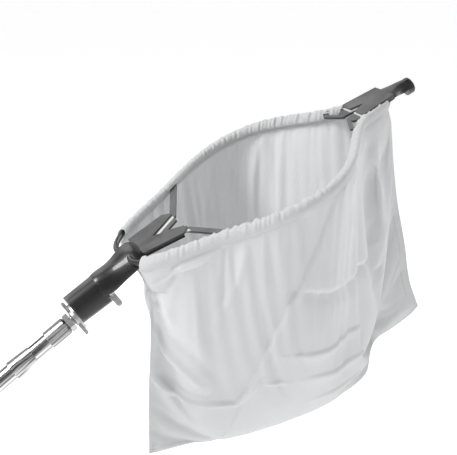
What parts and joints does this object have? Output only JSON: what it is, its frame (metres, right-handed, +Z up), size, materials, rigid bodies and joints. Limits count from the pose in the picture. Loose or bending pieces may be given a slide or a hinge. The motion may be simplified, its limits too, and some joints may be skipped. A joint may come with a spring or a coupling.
{
  "type": "fruit picker basket",
  "caption": "Fruit picker head: cloth bag hung on a steel ring between two forked cutting plates, clamped by a threaded stud to the end of a telescopic pole.",
  "frame": {"origin": "centre of the open lower end of the pole", "axes": "+Z up with the tool held as in use; +X forward, along the pole's and the ring's plan direction; +Y across the ring, to the left"},
  "size_m": [0.6168, 0.2484, 0.379],
  "materials": {
    "steel_tube": "polished stainless tube with lengthwise streaks",
    "steel_collar": "turned stainless steel",
    "zinc_steel": "bright zinc plating",
    "black_paint": "semi-gloss black enamel on pressed steel",
    "blade_steel": "ground bare steel",
    "black_plastic": "moulded black",
    "nylon": "moulded nylon",
    "canvas": "white cotton-polyester canvas, plain weave"
  },
  "bodies": {
    "lower_pole": {"lower_tube": "steel_tube"},
    "twist_collar": {"lock_collar": "steel_collar", "lock_collet": "nylon"},
    "upper_pole": {"upper_tube": "steel_tube", "guide_plug": "nylon", "end_ferrule": "steel_collar", "stud_plug": "steel_collar", "threaded_stud": "zinc_steel"},
    "jam_nut": {"jam_nut": "zinc_steel"},
    "wing_nut": {"wing_nut": "zinc_steel"},
    "head": {"mouth_washer": "zinc_steel", "socket_plug": "black_plastic", "captive_nut": "zinc_steel", "socket_fork": "black_paint", "near_blade": "blade_steel", "near_arms": "black_paint", "ring_rod": "black_paint", "far_fork": "black_paint", "far_blade": "blade_steel", "far_arms": "black_paint", "casing_left": "canvas", "casing_right": "canvas", "bag_left_panel": "canvas", "bag_right_panel": "canvas"}
  },
  "joints": [
    {"name": "pole_extension", "type": "slide", "parent": "lower_pole", "child": "upper_pole", "axis": [0.8192, 0, 0.5736], "range_m": [-0.016, 0.08]},
    {"name": "collar_twist", "type": "hinge", "parent": "lower_pole", "child": "twist_collar", "pos_m": [0.1581, 0, 0.1107], "axis": [0.8192, 0, 0.5736], "range_deg": [0, 180]},
    {"name": "jam_nut_turn", "type": "hinge", "parent": "upper_pole", "child": "jam_nut", "pos_m": [0.20811, 0, 0.14572], "axis": [0.8192, 0, 0.5736], "continuous": true},
    {"name": "wing_nut_turn", "type": "hinge", "parent": "upper_pole", "child": "wing_nut", "pos_m": [0.21335, 0, 0.14939], "axis": [0.8192, 0, 0.5736], "continuous": true},
    {"name": "head_turn", "type": "hinge", "parent": "upper_pole", "child": "head", "pos_m": [0.23325, 0, 0.16333], "axis": [0.8192, 0, 0.5736], "continuous": true}
  ]
}
